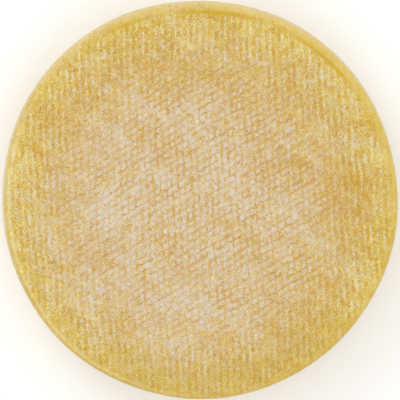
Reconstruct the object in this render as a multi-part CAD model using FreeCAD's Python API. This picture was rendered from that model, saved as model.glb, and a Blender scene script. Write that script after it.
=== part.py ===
import FreeCAD, Part
import math
import os

# A whole, uncut, pressed cheese wheel that lies on its lower face.
#
# The wheel is one closed solid. Its outline is a circle pushed a little out of round, its side
# bulges and leans a little, and both edges are rounded. Round the upper face runs the mark of
# the press lid, which sat off centre: the face sank a little inside the hoop, so a low lip and
# a groove stand along parts of the rim.
#
# +Z is up. The origin is the middle of the wheel's base, so the lower face is the plane Z = 0.

# ---- driving dimensions, in millimetres and degrees ------------------------------------------

WHEEL_DIAMETER = 310.0       # mean width over the fullest part of the side
WHEEL_HEIGHT = 66.0          # lower face to the top of the lip

SIDE_BULGE = 2.0             # how far the middle of the side stands out past its two ends
LOWER_EDGE_WIDTH = 7.0       # rounding of the lower edge, measured across
LOWER_EDGE_HEIGHT = 9.0      # and up the side
UPPER_EDGE_WIDTH = 5.0       # rounding of the upper edge, measured across
UPPER_EDGE_HEIGHT = 9.5      # and down the side

FACE_SINK = 0.8              # upper face below the top of the lip
GROOVE_WIDTH = 4.5           # groove between the lip and the face
GROOVE_DEPTH = 1.0           # deepest part of the groove, below the face
GROOVE_MARGIN = 1.0          # plain strip between the groove and the flat of the face

LID_OFFSET = 3.0             # how far the press lid sat from the middle of the wheel
LID_DIRECTION = 265.0        # and which way
LEAN = 3.0                   # how far the base is shifted under the upper face
LEAN_DIRECTION = 228.0       # and which way

# How the outline leaves a true circle: waves round the wheel, their height in millimetres,
# and the direction of a crest in degrees from +X.
OUTLINE_WAVES = (
    (2, 0.73, 108.0),
    (3, 0.28, 19.0),
    (4, 0.30, -39.0),
    (5, 0.24, -14.0),
    (6, 0.13, -14.0),
    (9, 0.16, -9.0),
)

# Where the lid's mark is strong: the middle of each arc and its half length, in degrees, and
# its strength. Between the arcs the mark fades to GROOVE_FLOOR.
GROOVE_ARCS = (
    (84.0, 13.0, 1.00),
    (48.0, 16.0, 0.90),
    (22.0, 9.0, 0.55),
    (112.0, 9.0, 0.60),
    (226.0, 20.0, 0.40),
)
GROOVE_FLOOR = 0.12

# How finely the skin is worked out
POINTS_ROUND = 90            # points round each ring
SIDE_RINGS = 7               # rings up the side, between its rounded edges
EDGE_RINGS = 6               # rings over each rounded edge
GROOVE_RINGS = 8             # rings across the groove


def outline_radius(angle):
    """Radius of the fullest part of the side: the mean radius plus the outline's waves."""
    radius = WHEEL_DIAMETER / 2
    for waves, height, crest in OUTLINE_WAVES:
        radius += height * math.cos(waves * (angle - math.radians(crest)))
    return radius


def lid_mark(angle):
    """Strength of the press lid's mark, from 0 to 1, where the smooth arcs add up."""
    strength = GROOVE_FLOOR
    for middle, half_length, peak in GROOVE_ARCS:
        turn = math.remainder(math.degrees(angle) - middle, 360.0)
        arc = peak * math.exp(-((turn / half_length) ** 2))
        strength = math.hypot(strength, arc)
    return min(strength, 1.0)


# Each ring of the skin is a row of: its inset from the outline, its height, how high the lip
# stands on it, how deep the groove dips in it, and how far it follows the lid off centre.


def lower_edge():
    """Rings over the lower edge: a quarter ellipse from the flat base out to the side."""
    for step in range(EDGE_RINGS):
        turn = math.pi / 2 * step / EDGE_RINGS
        inset = SIDE_BULGE + LOWER_EDGE_WIDTH * (1 - math.sin(turn))
        yield inset, LOWER_EDGE_HEIGHT * (1 - math.cos(turn)), 0.0, 0.0, 0.0


def side():
    """Rings up the side, whose inset is a parabola: none at mid height, SIDE_BULGE at its ends."""
    low = LOWER_EDGE_HEIGHT
    high = WHEEL_HEIGHT - FACE_SINK - UPPER_EDGE_HEIGHT
    for step in range(SIDE_RINGS + 1):
        share = step / SIDE_RINGS
        yield SIDE_BULGE * (2 * share - 1) ** 2, low + (high - low) * share, 0.0, 0.0, 0.0


def upper_edge():
    """Rings over the upper edge: a quarter ellipse, which the lip lifts near its top."""
    face = WHEEL_HEIGHT - FACE_SINK
    for step in range(1, EDGE_RINGS + 1):
        turn = math.pi / 2 * step / EDGE_RINGS
        across = 1 - math.cos(turn)
        inset = SIDE_BULGE + UPPER_EDGE_WIDTH * across
        rise = face - UPPER_EDGE_HEIGHT * (1 - math.sin(turn))
        yield inset, rise, FACE_SINK * math.sin(turn) ** 2, 0.0, LID_OFFSET * across


def groove():
    """Rings across the groove: the lip falls to the face while a hollow dips below both."""
    face = WHEEL_HEIGHT - FACE_SINK
    start = SIDE_BULGE + UPPER_EDGE_WIDTH
    for step in range(1, GROOVE_RINGS + 1):
        share = step / GROOVE_RINGS
        lip = FACE_SINK * math.cos(math.pi / 2 * share) ** 2
        hollow = GROOVE_DEPTH * math.sin(math.pi * share) ** 2
        yield start + GROOVE_WIDTH * share, face, lip, hollow, LID_OFFSET
    yield start + GROOVE_WIDTH + GROOVE_MARGIN, face, 0.0, 0.0, LID_OFFSET


def ring(inset, rise, lip, hollow, off_centre):
    """One closed smooth ring of the skin, from its row of sizes."""
    lid = math.radians(LID_DIRECTION)
    lean = math.radians(LEAN_DIRECTION)
    shift = LEAN * (0.5 - rise / WHEEL_HEIGHT)
    points = []
    for step in range(POINTS_ROUND):
        angle = 2 * math.pi * step / POINTS_ROUND
        radius = outline_radius(angle) - inset + off_centre * math.cos(angle - lid)
        x = radius * math.cos(angle) + shift * math.cos(lean)
        y = radius * math.sin(angle) + shift * math.sin(lean)
        points.append(FreeCAD.Vector(x, y, rise + (lip - hollow) * lid_mark(angle)))
    curve = Part.BSplineCurve()
    stations = [float(step) for step in range(POINTS_ROUND + 1)]
    curve.interpolate(Points=points, PeriodicFlag=True, Parameters=stations)
    return Part.Wire(curve.toShape())


def cheese_wheel():
    """The wheel: a skin through all its rings, closed by the flat base and the flat face."""
    rings = [*lower_edge(), *side(), *upper_edge(), *groove()]
    wheel = Part.makeLoft([ring(*row) for row in rings], True, False)
    box = wheel.optimalBoundingBox(False, False)
    wheel.translate(FreeCAD.Vector(-box.Center.x, -box.Center.y, -box.ZMin))
    return wheel


os.makedirs("parts", exist_ok=True)
cheese_wheel().exportStep("parts/cheese_wheel.step")
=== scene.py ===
import math

import bpy
import numpy as np
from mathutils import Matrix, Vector


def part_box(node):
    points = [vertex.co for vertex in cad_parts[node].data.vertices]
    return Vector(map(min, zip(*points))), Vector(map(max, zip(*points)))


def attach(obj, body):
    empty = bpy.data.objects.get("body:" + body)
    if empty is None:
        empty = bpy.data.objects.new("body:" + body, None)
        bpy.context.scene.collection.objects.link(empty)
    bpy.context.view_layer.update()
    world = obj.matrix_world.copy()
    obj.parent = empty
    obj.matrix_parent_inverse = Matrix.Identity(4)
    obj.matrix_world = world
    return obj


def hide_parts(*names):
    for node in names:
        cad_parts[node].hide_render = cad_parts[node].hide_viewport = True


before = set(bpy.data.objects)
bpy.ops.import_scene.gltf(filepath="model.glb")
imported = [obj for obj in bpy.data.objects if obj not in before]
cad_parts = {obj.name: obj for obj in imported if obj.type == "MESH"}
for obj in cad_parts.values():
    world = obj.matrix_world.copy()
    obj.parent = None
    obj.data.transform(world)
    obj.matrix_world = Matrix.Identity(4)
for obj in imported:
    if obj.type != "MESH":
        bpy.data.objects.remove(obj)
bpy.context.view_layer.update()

# A whole pressed raclette wheel. Its rind is one closed surface: both flat faces, the mark of
# the press lid round the upper one, the rounded edges and the bulging side. The press cloth's
# weave, the ripples and the pits are relief in that surface; the finest grain is in its
# material. Lengths are in metres, angles in degrees unless a comment says otherwise.

MM = 0.001
TURN = 2 * math.pi

# ---- the wheel's form ------------------------------------------------------------------------

WHEEL_LOW, WHEEL_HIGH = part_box("cheese_wheel")
WHEEL_HEIGHT = WHEEL_HIGH.z - WHEEL_LOW.z
MEAN_RADIUS = 155.0 * MM

SIDE_BULGE = 2.0 * MM
LOWER_EDGE_WIDTH = 7.0 * MM
LOWER_EDGE_HEIGHT = 9.0 * MM
UPPER_EDGE_WIDTH = 5.0 * MM
UPPER_EDGE_HEIGHT = 9.5 * MM

FACE_SINK = 0.8 * MM          # upper face below the top of the lip
GROOVE_WIDTH = 4.5 * MM
GROOVE_DEPTH = 1.0 * MM
GROOVE_MARGIN = 1.0 * MM

LID_OFFSET = 3.0 * MM         # how far off centre the press lid sat
LID_DIRECTION = 265.0
LEAN = 3.0 * MM               # how far the base is shifted under the upper face
LEAN_DIRECTION = 228.0

# Waves in the outline: how many go round, their height, and the direction of a crest
OUTLINE_WAVES = (
    (2, 0.73 * MM, 108.0),
    (3, 0.28 * MM, 19.0),
    (4, 0.30 * MM, -39.0),
    (5, 0.24 * MM, -14.0),
    (6, 0.13 * MM, -14.0),
    (9, 0.16 * MM, -9.0),
)

# Where the lid's mark is strong: direction, half length and strength of each arc
LID_ARCS = (
    (84.0, 13.0, 1.00),
    (48.0, 16.0, 0.90),
    (22.0, 9.0, 0.55),
    (112.0, 9.0, 0.60),
    (226.0, 20.0, 0.40),
)
LID_FLOOR = 0.12

# ---- the press cloth -------------------------------------------------------------------------

# The cloth leaves two families of fine grooves, one upright and one slanted. Across the faces
# they are straight waves with a pitch and a direction; round the side they are a whole number
# of waves.
CLOTH_PITCH = (4.886 * MM, 4.934 * MM)
CLOTH_DIRECTION = (3.2, -59.7)
CLOTH_ROUND = (200, 100)      # waves round the side
CLOTH_RISE = (0.0, -175.0)    # waves per metre up the side

# How the cloth was pulled out of true: by how many waves, over what length, and the share of
# that in a shorter tremor
CLOTH_DRIFT = 0.55
DRIFT_LENGTH = 75 * MM
TREMOR_SHARE = 0.28
TREMOR_LENGTH = 16 * MM

# ---- the relief pressed and dried into the rind ----------------------------------------------

CLOTH_DEPTH = (0.22 * MM, 0.18 * MM)
RIDGE_DEPTH = 0.25 * MM       # upright ridges near the rim
PATCH_LENGTH = 9 * MM         # patches where the cloth pressed more or less
RIPPLE_DEPTH = 0.35 * MM      # slow ripples
RIPPLE_LENGTH = 34 * MM
LUMP_DEPTH = 0.16 * MM        # small dry lumps
LUMP_LENGTH = 4.2 * MM
PIT_DEPTH = 0.9 * MM
PIT_RADIUS = 1.5 * MM
PITS = 90

# ---- the pale bloom --------------------------------------------------------------------------

BLOOM_MIDDLE = (-12 * MM, -14 * MM)
BLOOM_FADE = (130 * MM, 75 * MM)    # from its middle: where the heap starts, and is whole
BLOOM_THIN = 0.44             # how thick it lies everywhere, as a share
BLOOM_HEAP = 0.27             # how much more in the heap
STREAK_STRENGTH = 0.32        # and how much more or less in its streaks
STREAK_DIRECTION = -38.0      # the way the bloom was wiped
STREAK_WIDTH = 16 * MM
STREAK_LENGTH = 2.6           # how many times longer than wide its streaks are

# Patches of the upper face where it lies thick, or thin where the strength is negative: the
# middle across and up, the length and the width, in millimetres, the direction of the length,
# and the strength as a share of PATCH_STRENGTH.
PATCH_STRENGTH = 0.45
BLOOM_PATCHES = (
    (-42, 30, 80, 14, -40, 0.5),
    (-72, -12, 36, 26, -35, 0.5),
    (-38, -38, 34, 16, -30, 0.5),
    (-70, -62, 46, 26, 10, 0.3),
    (22, 36, 38, 26, -20, 0.5),
    (5, -80, 72, 16, -32, 0.4),
    (28, -16, 44, 14, -35, 0.2),
    (58, 58, 44, 16, -40, 0.4),
    (-80, -88, 50, 30, -45, 0.35),
    (-25, -114, 34, 16, 10, 0.4),
    (122, 18, 26, 26, 0, -0.7),
    (-80, 84, 60, 30, 45, -0.45),
    (48, 8, 14, 26, 0, -0.4),
    (62, -124, 44, 20, 20, -0.4),
)

# ---- where the rind's looks change -----------------------------------------------------------

# Directions round the rim
DRY_SHEEN_SIDE = 110.0              # middle of the half with a pale upper edge: dried rind and painted sheen
PALEST_SIDE = 97.0            # the middle of its palest stretch, with the most painted sheen
CREST_LIGHT_SIDE = 206.0           # where the lip's crest is painted light, with painted shade outside
LIT_YELLOW_SIDE = 38.0             # where the yellow lip is painted brighter, as painted light
SHADED_SIDE = 277.0           # where the rim is darkest: painted shade

# Distances from the axis: where each look starts, and where it is whole
GOLD_START = 63 * MM          # the cream starts to turn yellow
GOLD_REACH = 87 * MM          # and has turned this much further out
CREAM_MIDDLE = (-8 * MM, -9 * MM)   # the middle of the part that stays cream
CREAM_SHIFT = (150 * MM, 60 * MM)   # the rim doesn't follow that middle, the face does
# where the rim's painted shade starts, and where it is whole
RIM_SHADE_START = (105 * MM, 145 * MM)
WEAVE_START = (132 * MM, 78 * MM)   # the crisp marks of the cloth
GRIP_START = (72 * MM, 42 * MM)     # its upright family pressed deep
RIDGE_START = (88 * MM, 130 * MM)   # the upright ridges

# The slow noise that moves these borders in and out: its length, and how far it moves each
TONE_LENGTH = 30 * MM
GOLD_SHIFT = 9 * MM
WEAVE_SHIFT = 26 * MM
GRIP_SHIFT = 12 * MM
RIDGE_SHIFT = 20 * MM

# The ragged lower end of the dry rind: how many rows it wanders, and over what length
RAGGED_ROWS = 4.5
RAGGED_LENGTH = 13 * MM

# ---- colours as they look, red, green and blue from 0 to 255 ---------------------------------

# The rind by how pale it is, from 0 to 1: round its middle, and where it has turned yellow
CREAM_COLOURS = (
    (0.00, (204, 156, 74)),
    (0.25, (213, 176, 104)),
    (0.50, (218, 191, 145)),
    (0.75, (222, 205, 180)),
    (1.00, (227, 216, 205)),
)
GOLD_COLOURS = (
    (0.00, (210, 162, 48)),
    (0.20, (219, 181, 70)),
    (0.40, (226, 195, 95)),
    (0.70, (234, 213, 136)),
    (1.00, (241, 229, 176)),
)
GROOVE_COLOUR = (200, 152, 92)
MAUVE_COLOUR = (204, 166, 138)
PRICK_COLOUR = (176, 116, 52)
# painted shade on the rim's darkest stretch
RIM_SHADE_COLOUR = (196, 158, 66)
CREASE_COLOUR = (217, 177, 36)
# the lip's yellow, painted brighter as painted light
LIT_YELLOW_COLOUR = (238, 207, 92)
# pale dried rind with painted sheen over the upper edge
DRY_SHEEN_COLOUR = (233, 217, 178)

# ---- seeds of the random patterns ------------------------------------------------------------

DRIFT_SEEDS = (11, 23)
TREMOR_SEEDS = (31, 37)
STREAK_SEED = 49
RAGGED_SEED = 61
TONE_SEED = 71
PATCH_SEED = 81
RIPPLE_SEED = 91
LUMP_SEED = 97
PIT_SEED = 5

# ---- how finely the rind is divided ----------------------------------------------------------

FACE_RINGS = 118              # rings of the upper face; the base has half as many
GROOVE_ROWS = 8
UPPER_EDGE_ROWS = 6
SIDE_ROWS = 28
LOWER_EDGE_ROWS = 5
LIP_ROW = GROOVE_ROWS + 1     # the row along the top of the lip
HALVING_ROW = LIP_ROW + UPPER_EDGE_ROWS + 1   # the side has half as many points from here on
FLAT_ROWS = GROOVE_ROWS + 4   # rows over which the face's own cloth reaches down the edge
TURNED_ROWS = 2               # rows over which the base's cloth reaches up the edge


# ==== numpy helpers ===========================================================================


def smooth(low, high, value):
    """0 below low, 1 above high, and a cubic with level ends between them."""
    share = np.clip((value - low) / (high - low), 0.0, 1.0)
    return share * share * (3.0 - 2.0 * share)


def lattice_noise(points, cell, seed):
    """Smooth noise from -1 to 1: random values on a cubic lattice, eased between its corners."""
    size = 32
    table = np.random.default_rng(seed).uniform(-1.0, 1.0, (size, size, size))
    place = points / cell
    low = np.floor(place).astype(int)
    share = place - low
    share = share * share * (3.0 - 2.0 * share)
    total = np.zeros(len(points))
    for corner in np.ndindex(2, 2, 2):
        weight = np.ones(len(points))
        for axis, side in enumerate(corner):
            weight = weight * (share[:, axis] if side else 1.0 - share[:, axis])
        x, y, z = ((low[:, axis] + corner[axis]) % size for axis in range(3))
        total += weight * table[x, y, z]
    return total


def layered_noise(points, cell, seed, layers=4, fade=0.55):
    """Layers of lattice noise, each half the cell and a smaller share of the one before."""
    total = np.zeros(len(points))
    reach = 0.0
    for layer in range(layers):
        total += fade**layer * lattice_noise(points, cell / 2**layer, seed + layer)
        reach += fade**layer
    return total / reach


# ==== the wheel's skin ========================================================================


def outline_radius(angle):
    """Radius of the fullest part of the side: the mean radius plus the outline's waves."""
    radius = np.full_like(angle, MEAN_RADIUS)
    for waves, height, crest in OUTLINE_WAVES:
        radius += height * np.cos(waves * (angle - math.radians(crest)))
    return radius


def lid_mark(angle):
    """Strength of the press lid's mark, from 0 to 1: bells round the rim, joined by hypot."""
    strength = np.full_like(angle, LID_FLOOR)
    for middle, half_length, peak in LID_ARCS:
        turn = (np.degrees(angle) - middle + 180.0) % 360.0 - 180.0
        strength = np.hypot(strength, peak * np.exp(-((turn / half_length) ** 2)))
    return np.minimum(strength, 1.0)


def profile():
    """The skin's rows from the upper face's rim outwards, down the side and in to the base.

    Each row is its inset from the outline, its height, how high the lip stands, how deep the
    groove dips, and how far it follows the lid off centre. The groove is a squared sine under
    a falling squared cosine, the edges are quarter ellipses, and the side is a parabola.
    """
    face = WHEEL_HEIGHT - FACE_SINK
    lip_inset = SIDE_BULGE + UPPER_EDGE_WIDTH

    share = np.linspace(1.0, 0.0, GROOVE_ROWS + 1)
    lip = FACE_SINK * np.cos(math.pi / 2 * share) ** 2
    hollow = GROOVE_DEPTH * np.sin(math.pi * share) ** 2
    inset = lip_inset + GROOVE_WIDTH * share
    groove = np.stack([inset, face + 0 * share, lip, hollow, LID_OFFSET + 0 * share], 1)
    rim = [[inset[0] + GROOVE_MARGIN, face, 0.0, 0.0, LID_OFFSET]]

    turn = np.linspace(math.pi / 2, 0.0, UPPER_EDGE_ROWS + 1)[1:]
    across = 1.0 - np.cos(turn)
    inset = SIDE_BULGE + UPPER_EDGE_WIDTH * across
    rise = face - UPPER_EDGE_HEIGHT * (1.0 - np.sin(turn))
    lip = FACE_SINK * np.sin(turn) ** 2
    upper = np.stack([inset, rise, lip, 0 * turn, LID_OFFSET * across], 1)

    share = np.linspace(1.0, 0.0, SIDE_ROWS + 1)[1:]
    rise = LOWER_EDGE_HEIGHT + (face - UPPER_EDGE_HEIGHT - LOWER_EDGE_HEIGHT) * share
    side = np.stack([SIDE_BULGE * (2 * share - 1) ** 2, rise, *(0 * share,) * 3], 1)

    turn = np.linspace(math.pi / 2, 0.0, LOWER_EDGE_ROWS + 1)[1:]
    inset = SIDE_BULGE + LOWER_EDGE_WIDTH * (1.0 - np.sin(turn))
    rise = LOWER_EDGE_HEIGHT * (1.0 - np.cos(turn))
    lower = np.stack([inset, rise, *(0 * turn,) * 3], 1)
    return np.concatenate([rim, groove, upper, side, lower])


def skin(angle, row, share=1.0):
    """Points of the skin at these angles on a row of the profile, or a share of the way to it."""
    inset, rise, lip, hollow, off_centre = row
    lid = math.radians(LID_DIRECTION)
    lean = math.radians(LEAN_DIRECTION)
    shift = LEAN * (0.5 - rise / WHEEL_HEIGHT)
    radius = share * (outline_radius(angle) - inset + off_centre * np.cos(angle - lid))
    x = radius * np.cos(angle) + shift * math.cos(lean)
    y = radius * np.sin(angle) + shift * math.sin(lean)
    z = rise + (lip - hollow) * lid_mark(angle)
    return np.stack([x, y, z], -1)


def folded_grid(rings):
    """A square grid folded into a disc: ring k of the square becomes a circle of 8k points.

    Gives each point's angle and share of the radius, the quads, and the outermost circle's
    points in order of angle.
    """
    steps = np.arange(-rings, rings + 1)
    across, up = np.meshgrid(steps, steps, indexing="ij")
    flat = np.abs(across) >= np.abs(up)
    ring = np.maximum(np.abs(across), np.abs(up))
    safe_across = np.where(across == 0, 1, across)
    safe_up = np.where(up == 0, 1, up)
    by_side = math.pi / 4 * up / safe_across + np.where(across < 0, math.pi, 0.0)
    by_end = math.pi / 2 - math.pi / 4 * across / safe_up + np.where(up < 0, math.pi, 0.0)
    angle = (np.where(flat, by_side, by_end) % TURN).ravel()
    share = (ring / rings).ravel()
    number = np.arange(share.size).reshape(ring.shape)
    quads = np.stack(
        [number[:-1, :-1], number[1:, :-1], number[1:, 1:], number[:-1, 1:]], -1
    ).reshape(-1, 4)
    rim = np.flatnonzero(ring.ravel() == rings)
    return angle, share, quads, rim[np.argsort(angle[rim])]


def ring_quads(inner, outer):
    """Quads between two rings of as many points."""
    return np.stack([inner, outer, np.roll(outer, -1), np.roll(inner, -1)], -1)


def halving_triangles(dense, sparse):
    """Triangles from a ring to one with half as many points."""
    first, middle, last = dense[::2], dense[1::2], np.roll(dense[::2], -1)
    after = np.roll(sparse, -1)
    return np.concatenate(
        [
            np.stack([first, sparse, middle], -1),
            np.stack([middle, sparse, after], -1),
            np.stack([middle, after, last], -1),
        ]
    )


class Skin:
    """The wheel's skin as arrays: its points, their angle and row, the faces and their zone."""

    FACE, BAND, BASE = 0, 1, 2

    def __init__(self):
        rows = profile()
        last = len(rows) - 1
        face_angle, face_share, face_quads, face_rim = folded_grid(FACE_RINGS)
        base_angle, base_share, base_quads, base_rim = folded_grid(FACE_RINGS // 2)

        points = [skin(face_angle, rows[0], face_share)]
        points[0][:, 2] = rows[0][1]
        angles, places = [face_angle], [face_share - 1.0]
        quads, zones = [face_quads], [np.full(len(face_quads), self.FACE)]
        count, ring, columns = face_angle.size, face_rim, 8 * FACE_RINGS
        for index in range(1, last + 1):
            halve = index == HALVING_ROW
            columns = columns // 2 if halve else columns
            if index < last:
                angle = TURN * np.arange(columns) / columns
                points.append(skin(angle, rows[index]))
                angles.append(angle)
                places.append(np.full(columns, float(index)))
                below = count + np.arange(columns)
                count += columns
            else:
                below = count + base_rim
            if halve:
                triangles = halving_triangles(ring, below)
            else:
                zone = self.FACE if index <= FLAT_ROWS else self.BAND
                zone = self.BASE if index > last - TURNED_ROWS else zone
                quads.append(ring_quads(ring, below))
                zones.append(np.full(columns, zone))
            ring = below
        points.append(skin(base_angle, rows[-1], base_share))
        angles.append(base_angle)
        places.append(last + 1.0 - base_share)
        quads.append(base_quads[:, ::-1] + count)
        zones.append(np.full(len(base_quads), self.BASE))

        self.points = np.concatenate(points)
        self.angle = np.concatenate(angles)
        self.place = np.concatenate(places)
        self.quads = np.concatenate(quads)
        self.triangles = triangles
        self.zone = np.concatenate([*zones, np.full(len(triangles), self.BAND)])
        self.last = last
        self.fit()

    def fit(self):
        """Moves and stretches the points so that they fill the CAD wheel's own box."""
        low, high = self.points.min(0), self.points.max(0)
        box_low, box_high = np.array(WHEEL_LOW), np.array(WHEEL_HIGH)
        self.points = box_low + (self.points - low) / (high - low) * (box_high - box_low)


# ==== the marks in the rind ===================================================================


def cloth_phases(wheel):
    """How many waves of each family of cloth grooves lie before each point.

    Across the faces a phase is the point's distance along the family's direction over its
    pitch; round the side it is a share of the turn plus a climb. Slow noise and a shorter
    tremor pull both.
    """
    points = wheel.points
    drift = [layered_noise(points, DRIFT_LENGTH, seed, 3) for seed in DRIFT_SEEDS]
    tremor = [lattice_noise(points, TREMOR_LENGTH, seed) for seed in TREMOR_SEEDS]
    pull = CLOTH_DRIFT * (np.stack(drift, 1) + TREMOR_SHARE * np.stack(tremor, 1))
    turn = np.radians(CLOTH_DIRECTION)
    waves = np.stack([np.cos(turn), np.sin(turn)]) / np.array(CLOTH_PITCH)
    flat = points[:, :2] @ waves + pull
    climb = points[:, 2:] * np.array(CLOTH_RISE) + pull
    return flat, climb


def round_phases(angle, climb):
    """Phases on the side, from the angle and each point's climb."""
    return angle[:, None] / TURN * np.array(CLOTH_ROUND) + climb


def bloom_cover(points):
    """How thick the bloom lies: a broad heap off the middle, streaks of noise, and the patches.

    The streaks are noise read from a place turned and squeezed along their direction. Each
    patch is a stretched bell.
    """
    turn = math.radians(STREAK_DIRECTION)
    turned = points @ np.array(
        [[math.cos(turn), -math.sin(turn), 0], [math.sin(turn), math.cos(turn), 0], [0, 0, 1]]
    )
    squeezed = turned / np.array([STREAK_LENGTH, 1.0, 1.0])
    streaks = layered_noise(squeezed, STREAK_WIDTH, STREAK_SEED, 3)
    away = np.linalg.norm(points[:, :2] - np.array(BLOOM_MIDDLE), axis=1)
    cover = BLOOM_THIN + BLOOM_HEAP * smooth(*BLOOM_FADE, away) + STREAK_STRENGTH * streaks
    for across, up, length, width, direction, strength in BLOOM_PATCHES:
        turn = math.radians(direction)
        x, y = points[:, 0] - across * MM, points[:, 1] - up * MM
        along = (x * math.cos(turn) + y * math.sin(turn)) / (length * MM / 2)
        over = (y * math.cos(turn) - x * math.sin(turn)) / (width * MM / 2)
        cover += PATCH_STRENGTH * strength * np.exp(-(along**2) - over**2)
    return np.clip(cover, -0.2, 1.2)


def towards(angle, direction, low, high):
    """1 round a direction of the rim, 0 away from it, by the cosine of the angle between."""
    return smooth(low, high, np.cos(angle - math.radians(direction)))


def rim_marks(wheel):
    """Shares, for each point, of the looks that follow the lip and the upper edge.

    crease: the yellow bottom of the lid's groove, a cubed sine across it. lip: the smooth skin
    outside it. dry_and_sheen: pale dried rind over the edge with painted sheen on it, mostly on
    the side toward the main softbox, with a ragged lower end. edge: painted light and shade on
    the lip, a pale band along its crest, a bell across its rows, with a darker strip of painted
    shade outside it. yellow_and_lit: the lip's yellow skin on another stretch, painted brighter
    as painted light. Rows are counted outwards from the top of the lip.
    """
    angle = wheel.angle
    mark = lid_mark(angle)
    groove = np.clip(wheel.place - 1.0, 0.0, GROOVE_ROWS) / GROOVE_ROWS
    row = wheel.place - LIP_ROW
    crease = np.sin(math.pi * groove) ** 3 * smooth(0.2, 0.9, mark)
    lip = smooth(0.15, 0.65, groove) * (0.45 + 0.55 * mark) * smooth(11.0, 4.0, row)

    # Pale dried rind over the upper edge, with painted sheen, mostly on the side toward the main
    # softbox.
    palest = towards(angle, PALEST_SIDE, 0.55, 0.90)
    ragged = row + RAGGED_ROWS * layered_noise(wheel.points, RAGGED_LENGTH, RAGGED_SEED, 2)
    dry_and_sheen = 0.05 + 0.80 * towards(angle, DRY_SHEEN_SIDE, -0.25, 0.35) * (1.0 - 0.35 * palest)
    dry_and_sheen *= smooth(1.6, 3.6, row) * smooth(9.5, 4.0, ragged)
    dry_and_sheen += 0.3 * palest * smooth(-1.0, 2.3, row) * smooth(4.0, 2.3, row)

    # Painted light and shade on the lip: a pale band along its crest, a darker strip outside it.
    offset = np.cos(angle - math.radians(LID_DIRECTION))
    band = np.exp(-(((row + 0.8 + 1.6 * offset) / (2.0 + 0.5 * offset)) ** 2))
    edge = towards(angle, CREST_LIGHT_SIDE, 0.35, 0.75)
    edge *= 0.75 * band - 0.25 * smooth(0.6, 2.0, row)

    # The lip's yellow skin, painted brighter on one stretch as painted light.
    yellow_and_lit = towards(angle, LIT_YELLOW_SIDE, 0.35, 0.95)
    yellow_and_lit *= 0.42 * smooth(-0.2, 1.2, row) * smooth(6.5, 4.0, row)
    return {"crease": crease, "lip": lip, "dry_and_sheen": dry_and_sheen, "edge": edge, "yellow_and_lit": yellow_and_lit}


def face_marks(wheel, lip):
    """Shares, for each point, of the looks that change with the distance from the axis.

    side: the band between the faces. gold: how far the rind has turned from pinkish cream to
    yellow, the square of a straight climb from round the cream middle. rim_shade: painted shade,
    the rim painted darker on its darkest stretch. weave: how crisp the cloth's marks are. grip:
    how deep its upright family is. ridges: the upright ridges near the rim, all but gone on the
    lip.
    """
    x, y, z = wheel.points.T
    away = np.hypot(x, y)
    slow = layered_noise(wheel.points, TONE_LENGTH, TONE_SEED, 3)
    face = smooth(FLAT_ROWS + 1.0, FLAT_ROWS - 3.0, wheel.place)
    base = smooth(wheel.last - TURNED_ROWS - 1.0, wheel.last - 0.5, wheel.place)
    side = (1.0 - face) * (1.0 - base)

    shift = smooth(*CREAM_SHIFT, away)
    off_middle = np.hypot(x - CREAM_MIDDLE[0] * shift, y - CREAM_MIDDLE[1] * shift)
    gold = (off_middle + GOLD_SHIFT * slow - GOLD_START) / GOLD_REACH
    gold = np.clip(gold, 0.0, 1.0) ** 2
    gold = np.where(base > 0.5, 0.8 * gold, gold)
    # Painted shade: the rim painted darker round one stretch.
    rim_shade = towards(wheel.angle, SHADED_SIDE, 0.60, 0.95) * smooth(*RIM_SHADE_START, away)

    weave = smooth(*WEAVE_START, away + WEAVE_SHIFT * slow) * (1.0 - side)
    weave += 0.3 * side * smooth(0.35, 0.9, z / WHEEL_HEIGHT)
    grip = 0.32 + 0.38 * smooth(*GRIP_START, away + GRIP_SHIFT * slow)
    ridges = smooth(*RIDGE_START, away + RIDGE_SHIFT * slow) * (1.0 - 0.85 * lip)
    return {
        "side": side,
        "gold": gold,
        "rim_shade": rim_shade,
        "weave": weave,
        "grip": grip,
        "ridges": ridges,
    }


def marks_of(wheel):
    """Every mark of the rind by name, as a share for each point."""
    rim = rim_marks(wheel)
    return {"bloom": bloom_cover(wheel.points), **rim, **face_marks(wheel, rim["lip"])}


def relief(wheel, marks, flat, climb):
    """How deep each point lies under the smooth skin.

    Each family of cloth grooves is a raised cosine of its phase, the first as deep as the
    cloth's grip. The upright ridges deepen the first family where the second crosses it, slow
    ripples and small lumps are layers of noise, and the lip is smoother than the rest.
    """
    on_side = (marks["side"] > 0.5)[:, None]
    phase = np.where(on_side, round_phases(wheel.angle, climb), flat)
    first, second = (0.5 + 0.5 * np.cos(TURN * phase)).T
    patchy = 0.65 + 0.5 * lattice_noise(wheel.points, PATCH_LENGTH, PATCH_SEED)
    rough = 1.0 - 0.8 * marks["lip"]
    ripples = 0.5 + 0.5 * layered_noise(wheel.points, RIPPLE_LENGTH, RIPPLE_SEED, 3)
    lumps = 0.5 + 0.5 * layered_noise(wheel.points, LUMP_LENGTH, LUMP_SEED, 2)
    deep = CLOTH_DEPTH[0] * first * marks["grip"] + CLOTH_DEPTH[1] * second
    deep *= 0.25 + 0.75 * marks["weave"]
    deep += RIDGE_DEPTH * first * (0.4 + 0.9 * second) * marks["ridges"]
    return deep * patchy * rough + RIPPLE_DEPTH * ripples + LUMP_DEPTH * lumps * rough


def pits(wheel):
    """Bells of depth at scattered points: for each pit, a bell of the distance from it."""
    chance = np.random.default_rng(PIT_SEED)
    deep = np.zeros(len(wheel.points))
    for number in chance.choice(len(wheel.points), PITS, replace=False):
        size = PIT_RADIUS * chance.uniform(0.6, 1.3)
        near = np.linalg.norm(wheel.points - wheel.points[number], axis=1)
        deep += PIT_DEPTH * chance.uniform(0.4, 1.0) * np.exp(-((near / size) ** 2))
    return deep


# ==== meshes ==================================================================================


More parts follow.
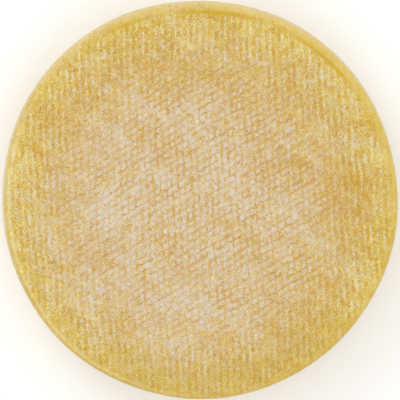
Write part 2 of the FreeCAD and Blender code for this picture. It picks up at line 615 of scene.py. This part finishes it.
def surface(name, points, quads, triangles=None):
    """A smooth-shaded mesh from arrays of points and faces."""
    triangles = np.zeros((0, 3), int) if triangles is None else triangles
    corners = np.concatenate([quads.ravel(), triangles.ravel()])
    sizes = np.repeat([4, 3], [len(quads), len(triangles)])
    mesh = bpy.data.meshes.new(name)
    mesh.vertices.add(len(points))
    mesh.vertices.foreach_set("co", points.ravel())
    mesh.loops.add(len(corners))
    mesh.loops.foreach_set("vertex_index", corners)
    mesh.polygons.add(len(sizes))
    mesh.polygons.foreach_set("loop_start", np.cumsum(sizes) - sizes)
    mesh.update(calc_edges=True)
    mesh.shade_smooth()
    return mesh


def normals_of(mesh):
    """The mesh's normal at each point."""
    normals = np.zeros(3 * len(mesh.vertices))
    mesh.vertex_normals.foreach_get("vector", normals)
    return normals.reshape(-1, 3)


def store(mesh, name, values):
    """Keeps one number per point as an attribute that materials read by name."""
    mesh.attributes.new(name, "FLOAT", "POINT").data.foreach_set("value", values)


def store_map(mesh, name, places):
    """Keeps a place per face corner as a UV map."""
    mesh.uv_layers.new(name=name).data.foreach_set("uv", places.ravel())


def corners_of(wheel):
    """Each face corner's point, its face's zone, and its angle without a jump at the seam."""
    sizes = np.repeat([4, 3], [len(wheel.quads), len(wheel.triangles)])
    point = np.concatenate([wheel.quads.ravel(), wheel.triangles.ravel()])
    starts = np.cumsum(sizes) - sizes
    angle = wheel.angle[point]
    first = np.repeat(angle[starts], sizes)
    angle = np.where(angle < first - math.pi, angle + TURN, angle)
    return point, np.repeat(wheel.zone, sizes), angle


def cloth_map(wheel, flat, climb):
    """The cloth's phases at each face corner: those of the faces, or those of the side."""
    point, zone, angle = corners_of(wheel)
    wrapped = round_phases(angle, climb[point])
    return np.where((zone == wheel.BAND)[:, None], wrapped, flat[point])


def bake_map(wheel):
    """Lays the skin out flat in the unit square, with no overlap.

    The upper face is a large disc at the upper left and the base a small one at the lower
    left. The side is cut in two at its half turn, and stands in two strips at the right.
    """
    point, zone, angle = corners_of(wheel)
    x, y, z = wheel.points[point].T
    gap, face_width, base_width = 0.012, 0.70, 0.25
    face_scale = face_width / (2 * MEAN_RADIUS)
    base_scale = base_width / (2 * MEAN_RADIUS)
    face_middle = gap + face_width / 2
    base_middle = gap + base_width / 2
    face = np.stack([face_middle + x * face_scale, 1 - face_middle + y * face_scale], 1)
    base = np.stack([base_middle - x * base_scale, base_middle + y * base_scale], 1)

    longest = 1.02 * math.pi * MEAN_RADIUS      # a strip's length, with room for the outline
    side_scale = (1 - 2 * gap) / longest
    sizes = np.repeat([4, 3], [len(wheel.quads), len(wheel.triangles)])
    first = np.repeat(angle[np.cumsum(sizes) - sizes], sizes)
    strip = np.floor(first / math.pi)
    along = gap + (angle - strip * math.pi) * MEAN_RADIUS * side_scale
    strip_start = face_width + 2 * gap + strip * (WHEEL_HEIGHT * side_scale + gap)
    side = np.stack([strip_start + z * side_scale, along], 1)
    zone = zone[:, None]
    return np.where(zone == wheel.FACE, face, np.where(zone == wheel.BASE, base, side))


# ==== node helpers ============================================================================

STUDIO_LEVEL = 1.195          # how bright a white card lies in the studio's light


def paint(red, green, blue):
    """The reflectance of a surface that looks this colour, from 0 to 255, in this studio."""
    share = np.array([red, green, blue]) / 255.0
    light = np.where(share <= 0.04045, share / 12.92, ((share + 0.055) / 1.055) ** 2.4)
    return (*map(float, light / STUDIO_LEVEL), 1.0)


class Nodes:
    """Puts nodes into a tree. Any value may be a number, a colour or another node's socket."""

    def __init__(self, tree):
        self.tree = tree

    def feed(self, socket, value):
        """Links a socket to another, or sets its own value."""
        if isinstance(value, bpy.types.NodeSocket):
            self.tree.links.new(value, socket)
        else:
            socket.default_value = value

    def put(self, kind, values=(), **settings):
        """A node of this kind, with its settings and inputs."""
        node = self.tree.nodes.new(kind)
        for name, value in settings.items():
            setattr(node, name, value)
        for socket, value in dict(values).items():
            self.feed(node.inputs[socket], value)
        return node

    def math(self, operation, *values, clamp=False):
        """Arithmetic on up to three numbers."""
        values = dict(enumerate(values))
        return self.put("ShaderNodeMath", values, operation=operation, use_clamp=clamp).outputs[0]

    def vector(self, operation, *values):
        """Arithmetic on vectors."""
        values = dict(enumerate(values))
        return self.put("ShaderNodeVectorMath", values, operation=operation).outputs[0]

    def join(self, x, y, z=0.0):
        """A vector of three numbers."""
        return self.put("ShaderNodeCombineXYZ", {0: x, 1: y, 2: z}).outputs[0]

    def split(self, vector):
        """A vector's three numbers."""
        return self.put("ShaderNodeSeparateXYZ", {0: vector}).outputs

    def ease(self, value, low, high, start=0.0, end=1.0):
        """Runs smoothly from start to end while the value goes from low to high."""
        values = {0: value, 1: low, 2: high, 3: start, 4: end}
        node = self.put("ShaderNodeMapRange", values, interpolation_type="SMOOTHSTEP")
        return node.outputs[0]

    def noise(self, place, scale, detail=2.0, roughness=0.5, coloured=False):
        """Smooth noise about 0.5, as a number or as three of them."""
        values = {"Vector": place, "Scale": scale, "Detail": detail, "Roughness": roughness}
        return self.put("ShaderNodeTexNoise", values).outputs[1 if coloured else 0]

    def blend(self, share, low, high):
        """A colour between two others."""
        return self.put("ShaderNodeMix", {0: share, 6: low, 7: high}, data_type="RGBA").outputs[2]

    def ramp(self, share, stops):
        """A paint read from a row of stops, each a place from 0 to 1 and how it looks."""
        node = self.put("ShaderNodeValToRGB", {0: share})
        elements = node.color_ramp.elements
        while len(elements) < len(stops):
            elements.new(0.5)
        for element, (place, look) in zip(elements, stops):
            element.position, element.color = place, paint(*look)
        return node.outputs[0]

    def attribute(self, name):
        """A number that the mesh keeps for each point."""
        return self.put("ShaderNodeAttribute", attribute_name=name).outputs["Fac"]

    def place(self, tree, values):
        """A node group, placed with its own values."""
        node = self.put("ShaderNodeGroup", node_tree=tree)
        for name, value in values.items():
            self.feed(node.inputs[name], value)
        return node.outputs


def group(name, inputs, outputs, fill):
    """A node group with these named inputs and outputs, filled by a function of its nodes."""
    tree = bpy.data.node_groups.new(name, "ShaderNodeTree")
    for label, kind, value in inputs:
        socket = tree.interface.new_socket(label, in_out="INPUT", socket_type=kind)
        if value is not None:
            socket.default_value = value
    for label, kind in outputs:
        tree.interface.new_socket(label, in_out="OUTPUT", socket_type=kind)
    nodes = Nodes(tree)
    given = nodes.put("NodeGroupInput").outputs
    made = fill(nodes, given)
    nodes.put("NodeGroupOutput", made)
    return tree


NUMBER, VECTOR = "NodeSocketFloat", "NodeSocketVector"


# ==== the rind's effects ======================================================================


def shaken(nodes, vector, place, scale, reach):
    """A vector moved by up to about half the reach, by noise of its own in each direction."""
    noise = nodes.noise(place, scale, 2.0, 0.55, coloured=True)
    noise = nodes.vector("SUBTRACT", noise, (0.5, 0.5, 0.5))
    values = {0: noise, "Scale": reach}
    noise = nodes.put("ShaderNodeVectorMath", values, operation="SCALE").outputs[0]
    return nodes.vector("ADD", vector, noise)


def weave_group():
    """The press cloth's two families of narrow grooves, each thread broken by its own noise.

    A groove lies where a phase is whole. Each thread's strength is noise read at its own
    number and along its length. The middle of a mesh, away from both, is a plate.
    """

    def fill(nodes, given):
        phase = shaken(nodes, given["Cloth"], given["Place"], 210.0, given["Wobble"])
        first, second, _ = nodes.split(phase)
        away, grooves = [], []
        for own, other, width, shift in (
            (first, second, given["First width"], 0.0),
            (second, first, given["Second width"], 31.7),
        ):
            far = nodes.math("MULTIPLY", nodes.math("PINGPONG", own, 0.5), 2.0)
            line = nodes.ease(far, nodes.math("MULTIPLY", width, 0.2), width, 1.0, 0.0)
            number = nodes.math("MULTIPLY", nodes.math("ROUND", own), 7.31)
            thread = nodes.join(number, other, shift)
            strength = nodes.ease(nodes.noise(thread, 1.0, 2.0, 0.6), 0.36, 0.64, 0.05, 1.0)
            away.append(far)
            grooves.append(nodes.math("MULTIPLY", line, strength))
        return {
            "First groove": grooves[0],
            "Second groove": grooves[1],
            "Plate": nodes.ease(nodes.math("MINIMUM", *away), 0.30, 0.85),
        }

    inputs = [
        ("Cloth", VECTOR, None),
        ("Place", VECTOR, None),
        ("First width", NUMBER, 0.4),
        ("Second width", NUMBER, 0.3),
        ("Wobble", NUMBER, 0.3),
    ]
    outputs = [("First groove", NUMBER), ("Second groove", NUMBER), ("Plate", NUMBER)]
    return group("press cloth weave", inputs, outputs, fill)


def ridges_group():
    """Upright pale ridges with dark slots between them, broken along their length.

    A ridge lies half way between two grooves of the first family. Its strength is noise
    stretched along it, and so is that of the slot beside it.
    """

    def fill(nodes, given):
        phase = shaken(nodes, given["Cloth"], given["Place"], 170.0, given["Wobble"])
        first, second, _ = nodes.split(phase)
        far = nodes.math("MULTIPLY", nodes.math("PINGPONG", first, 0.5), 2.0)
        made = []
        for rounding, number_step, along, low, high in (
            ("FLOOR", 5.17, 0.7, 0.42, 0.60),
            ("ROUND", 9.73, 1.2, 0.44, 0.62),
        ):
            number = nodes.math("MULTIPLY", nodes.math(rounding, first), number_step)
            thread = nodes.join(number, nodes.math("MULTIPLY", second, along), number_step)
            made.append(nodes.ease(nodes.noise(thread, 1.0, 3.0, 0.7), low, high))
        crest = nodes.ease(far, 0.50, 0.95)
        trough = nodes.ease(far, 0.10, 0.55, 1.0, 0.0)
        return {
            "Ridge": nodes.math("MULTIPLY", made[0], crest),
            "Slot": nodes.math("MULTIPLY", made[1], trough),
        }

    inputs = [("Cloth", VECTOR, None), ("Place", VECTOR, None), ("Wobble", NUMBER, 0.5)]
    return group("upright ridges", inputs, [("Ridge", NUMBER), ("Slot", NUMBER)], fill)


FIBRE_CLOTH = (4.9 * MM, 5.5 * MM)  # the cloth's pitch across and along the ridges


def fibres_group():
    """Short pale fibres that mostly stand upright: noise squeezed across the cloth's ridges.

    The cloth's phases are turned into a flat place, shaken so that the fibres lean this way
    and that, and stretched along the ridges before the noise is read.
    """

    def fill(nodes, given):
        first, second, _ = nodes.split(given["Cloth"])
        upright = nodes.math("MULTIPLY_ADD", first, -0.5, second)
        across = nodes.math("MULTIPLY", first, FIBRE_CLOTH[0])
        along = nodes.math("MULTIPLY", upright, FIBRE_CLOTH[1])
        flat = shaken(nodes, nodes.join(across, along), given["Place"], 240.0, given["Lean"])
        across, along, _ = nodes.split(flat)
        squeezed = nodes.join(across, nodes.math("MULTIPLY", along, given["Stretch"]))
        noise = nodes.noise(squeezed, given["Scale"], 2.0, 0.75)
        return {"Fibre": nodes.ease(noise, 0.42, 0.66), "Gap": nodes.ease(noise, 0.46, 0.26)}

    inputs = [
        ("Cloth", VECTOR, None),
        ("Place", VECTOR, None),
        ("Scale", NUMBER, 700.0),
        ("Stretch", NUMBER, 0.4),
        ("Lean", NUMBER, 4.0 * MM),
    ]
    return group("short fibres", inputs, [("Fibre", NUMBER), ("Gap", NUMBER)], fill)


def specks_group():
    """Small spots at the middles of scattered cells, some cells left empty."""

    def fill(nodes, given):
        values = {"Vector": given["Place"], "Scale": given["Scale"], "Randomness": 1.0}
        cells = nodes.put("ShaderNodeTexVoronoi", values).outputs
        chance = nodes.split(cells["Color"])[0]
        chosen = nodes.math("LESS_THAN", chance, given["Share"])
        spot = nodes.ease(cells["Distance"], 0.10, given["Size"], 1.0, 0.0)
        return {"Speck": nodes.math("MULTIPLY", spot, chosen)}

    inputs = [
        ("Place", VECTOR, None),
        ("Scale", NUMBER, 400.0),
        ("Share", NUMBER, 0.4),
        ("Size", NUMBER, 0.4),
    ]
    return group("specks", inputs, [("Speck", NUMBER)], fill)


# ==== materials ===============================================================================


def weighted(nodes, start, *parts):
    """A sum of a first value and of parts, each a value and its weight."""
    total = start
    for value, weight in parts:
        total = nodes.math("MULTIPLY_ADD", value, weight, total)
    return total


RIND_MARKS = (
    "gold", "bloom", "weave", "grip", "ridges", "crease", "lip", "dry_and_sheen", "edge", "yellow_and_lit", "rim_shade",
)


def rind_patterns(nodes):
    """The marks that the mesh keeps and the rind's fine patterns, by name."""
    place = nodes.put("ShaderNodeTexCoord").outputs["Object"]
    cloth = nodes.put("ShaderNodeUVMap", uv_map="cloth").outputs[0]
    at = {"Cloth": cloth, "Place": place}
    widths = {"First width": 0.42, "Second width": 0.28, "Wobble": 0.75}
    weave = nodes.place(weave_group(), {**at, **widths})
    ridges = nodes.place(ridges_group(), {**at, "Wobble": 0.55})
    strands = {"Scale": 800.0, "Stretch": 0.55, "Lean": 6.0 * MM}
    fibres = nodes.place(fibres_group(), {**at, **strands})
    specks = specks_group()
    mauve = {"Place": place, "Scale": 480.0, "Share": 0.45, "Size": 0.40}
    pricks = {"Place": place, "Scale": 230.0, "Share": 0.07, "Size": 0.22}
    firm = nodes.noise(nodes.vector("ADD", place, (9.0, 2.0, 4.0)), 75.0, 2.0, 0.5)
    firm = nodes.ease(firm, 0.38, 0.62, 0.68, 1.12)
    marks = {name: nodes.attribute(name) for name in RIND_MARKS}
    return {
        **marks,
        "crisp": nodes.math("MULTIPLY", marks["weave"], firm),
        "upright": nodes.math("MULTIPLY", marks["ridges"], firm),
        "upright groove": nodes.math("MULTIPLY", weave["First groove"], marks["grip"]),
        "slanted groove": weave["Second groove"],
        "plate": weave["Plate"],
        "ridge": ridges["Ridge"],
        "slot": ridges["Slot"],
        "fibre": fibres["Fibre"],
        "gap": fibres["Gap"],
        "mauve": nodes.place(specks, mauve)["Speck"],
        "prick": nodes.place(specks, pricks)["Speck"],
        "grain": nodes.noise(place, 1150.0, 1.0, 0.7),
        "mottle": nodes.noise(place, 420.0, 1.0, 0.6),
        "cloud": nodes.noise(place, 150.0, 2.0, 0.5),
        "hue": nodes.noise(nodes.vector("ADD", place, (3.0, 5.0, 7.0)), 160.0, 2.0, 0.5),
    }


def rind_threads(nodes, of):
    """The cloth's grooves, from 0 to 1, and the teeth of ridges and fibres, about 0."""
    slanted = nodes.math("MULTIPLY", of["slanted groove"], 0.8)
    groove = nodes.math("MAXIMUM", of["upright groove"], slanted)
    teeth = weighted(nodes, -0.02, (of["ridge"], 0.42), (of["slot"], -0.38))
    teeth = weighted(nodes, teeth, (of["fibre"], 0.27), (of["gap"], -0.27))
    return groove, teeth


def how_pale(nodes, of, groove, teeth):
    """How pale each spot is, from 0 at the bottom of a groove to 1 on thick bloom."""
    pale = weighted(nodes, -1.65, (of["bloom"], 0.72), (of["cloud"], 0.75))
    pale = weighted(nodes, pale, (of["mottle"], 0.50), (of["grain"], 2.00), (of["gold"], 0.07))
    texture = weighted(nodes, 0.0, (of["plate"], 0.23), (groove, -0.56))
    pale = weighted(nodes, pale, (texture, of["crisp"]), (teeth, of["upright"]))
    calm = nodes.math("MULTIPLY", of["lip"], 0.42)
    pale = weighted(nodes, pale, (nodes.math("SUBTRACT", 0.38, pale), calm))
    # The lip's painted light and shade: paler on its crest, darker outside it.
    return nodes.math("MULTIPLY_ADD", of["edge"], 0.45, pale, clamp=True)


def rind_colour(nodes, of, pale):
    """Cream or gold by how pale the spot is, then small marks and painted light and shade."""
    grooved = nodes.math("MULTIPLY", of["upright groove"], of["crisp"])
    yellow = weighted(nodes, -0.80, (of["gold"], 1.0), (of["hue"], 1.6), (grooved, 0.35))
    cream = nodes.ramp(pale, CREAM_COLOURS)
    colour = nodes.blend(yellow, cream, nodes.ramp(pale, GOLD_COLOURS))
    faint = nodes.math("MULTIPLY", of["crisp"], 0.10)
    blush = nodes.math("MULTIPLY_ADD", of["gold"], -0.3, 0.42)
    # How strongly the pale dried rind and its painted sheen show, flecked by noise.
    flecked = nodes.ease(nodes.math("ADD", of["grain"], of["mottle"]), 0.85, 1.15, 0.6, 1.15)
    for mark, strength, look in (
        ("slanted groove", faint, GROOVE_COLOUR),
        ("mauve", blush, MAUVE_COLOUR),
        ("prick", 0.6, PRICK_COLOUR),
        # painted shade on the rim's darkest stretch
        ("rim_shade", 0.30, RIM_SHADE_COLOUR),
        ("crease", 1.0, CREASE_COLOUR),
        # the yellow lip, painted brighter as painted light
        ("yellow_and_lit", 1.0, LIT_YELLOW_COLOUR),
        # pale dried rind with painted sheen on the upper edge
        ("dry_and_sheen", flecked, DRY_SHEEN_COLOUR),
    ):
        share = nodes.math("MULTIPLY", of[mark], strength)
        colour = nodes.blend(share, colour, paint(*look))
    return colour


def rind_material():
    """Cloth-marked cheese rind: gold in the grooves, cream on the plates, yellow at the rim."""
    material = bpy.data.materials.new("cheese_rind")
    material.use_nodes = True
    nodes = Nodes(material.node_tree)
    shader = material.node_tree.nodes["Principled BSDF"]
    of = rind_patterns(nodes)
    groove, teeth = rind_threads(nodes, of)
    pale = how_pale(nodes, of, groove, teeth)
    nodes.feed(shader.inputs["Base Color"], rind_colour(nodes, of, pale))

    height = nodes.math("MULTIPLY", groove, nodes.math("MULTIPLY", of["crisp"], -0.5))
    height = weighted(nodes, height, (teeth, of["upright"]))
    height = weighted(nodes, height, (of["grain"], 1.0), (of["mottle"], 0.3))
    bump = nodes.put("ShaderNodeBump", {"Height": height, "Distance": 0.7 * MM, "Strength": 0.7})
    nodes.feed(shader.inputs["Normal"], bump.outputs[0])
    nodes.feed(shader.inputs["Roughness"], nodes.ease(pale, 0.0, 1.0, 0.50, 0.80))
    shader.inputs["Specular IOR Level"].default_value = 0.22
    shader.inputs["Sheen Weight"].default_value = 0.10
    shader.inputs["Sheen Roughness"].default_value = 0.5
    return material


def floor_material():
    """Pale matt paper."""
    material = bpy.data.materials.new("pale_floor")
    material.use_nodes = True
    shader = material.node_tree.nodes["Principled BSDF"]
    shader.inputs["Base Color"].default_value = (0.93, 0.93, 0.925, 1.0)
    shader.inputs["Roughness"].default_value = 0.9
    shader.inputs["Specular IOR Level"].default_value = 0.1
    return material


# ==== the pieces ==============================================================================


def add_piece(name, mesh, material):
    """An object at the origin, made of this mesh and material."""
    piece = bpy.data.objects.new(name, mesh)
    bpy.context.scene.collection.objects.link(piece)
    mesh.materials.append(material)
    return piece


def cheese_rind():
    """The whole wheel: the skin with its relief, its marks and its maps."""
    wheel = Skin()
    flat, climb = cloth_phases(wheel)
    marks = marks_of(wheel)
    mesh = surface("rind", wheel.points, wheel.quads, wheel.triangles)
    deep = relief(wheel, marks, flat, climb) + pits(wheel)
    points = wheel.points - normals_of(mesh) * deep[:, None]
    mesh.vertices.foreach_set("co", points.ravel())
    mesh.update()
    for name, values in marks.items():
        store(mesh, name, values)
    store_map(mesh, "cloth", cloth_map(wheel, flat, climb))
    store_map(mesh, "OFBake", bake_map(wheel))
    piece = add_piece("cheese_rind", mesh, rind_material())
    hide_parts("cheese_wheel")
    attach(piece, "root")
    return piece


FLOOR_RADIUS = 12.0
FLOOR_POINTS = 96


def floor():
    """A wide pale disc under the wheel."""
    angle = TURN * np.arange(FLOOR_POINTS) / FLOOR_POINTS
    rim = np.stack([FLOOR_RADIUS * np.cos(angle), FLOOR_RADIUS * np.sin(angle), 0 * angle], 1)
    mesh = bpy.data.meshes.new("floor")
    mesh.from_pydata(rim.tolist(), [], [list(range(len(rim)))])
    add_piece("floor", mesh, floor_material())


# ==== light and camera ========================================================================

CAMERA_LENS = 150.0
CAMERA_SENSOR = 36.0
FRAME_WIDTH = 0.3134          # what the camera takes in at the fullest part of the side
CAMERA_PLACE = (0.46 * MM, 0.74 * MM)     # a little off the axis
SKY_STRENGTH = 1.03
SOFTBOXES = (
    # position, width, power
    ((-0.85, 1.20, 1.25), 1.1, 6.5),
    ((0.30, -1.20, 1.90), 1.2, 4.0),
)


def light_the_scene():
    """A pale even sky, a softbox behind the wheel and a weaker one in front."""
    world = bpy.data.worlds.new("sky")
    world.use_nodes = True
    sky = world.node_tree.nodes["Background"]
    sky.inputs["Color"].default_value = (1.0, 1.0, 1.0, 1.0)
    sky.inputs["Strength"].default_value = SKY_STRENGTH
    bpy.context.scene.world = world
    for number, (spot, width, power) in enumerate(SOFTBOXES):
        lamp = bpy.data.lights.new(f"softbox_{number}", "AREA")
        lamp.shape, lamp.size, lamp.energy = "DISK", width, power
        holder = bpy.data.objects.new(f"softbox_{number}", lamp)
        holder.location = spot
        holder.rotation_euler = (-Vector(spot)).to_track_quat("-Z", "Y").to_euler()
        holder.visible_camera = False
        bpy.context.scene.collection.objects.link(holder)


def set_the_camera():
    """Above the wheel, a little off its axis, looking straight down with +Y up in the frame."""
    camera = bpy.data.cameras.new("camera")
    camera.lens, camera.sensor_width = CAMERA_LENS, CAMERA_SENSOR
    holder = bpy.data.objects.new("camera", camera)
    away = FRAME_WIDTH * CAMERA_LENS / CAMERA_SENSOR
    holder.location = (*CAMERA_PLACE, WHEEL_HEIGHT / 2 + away)
    camera.clip_end = 50.0
    bpy.context.scene.collection.objects.link(holder)
    bpy.context.scene.camera = holder


bpy.context.scene.view_settings.view_transform = "Standard"
cheese_rind()
floor()
light_the_scene()
set_the_camera()
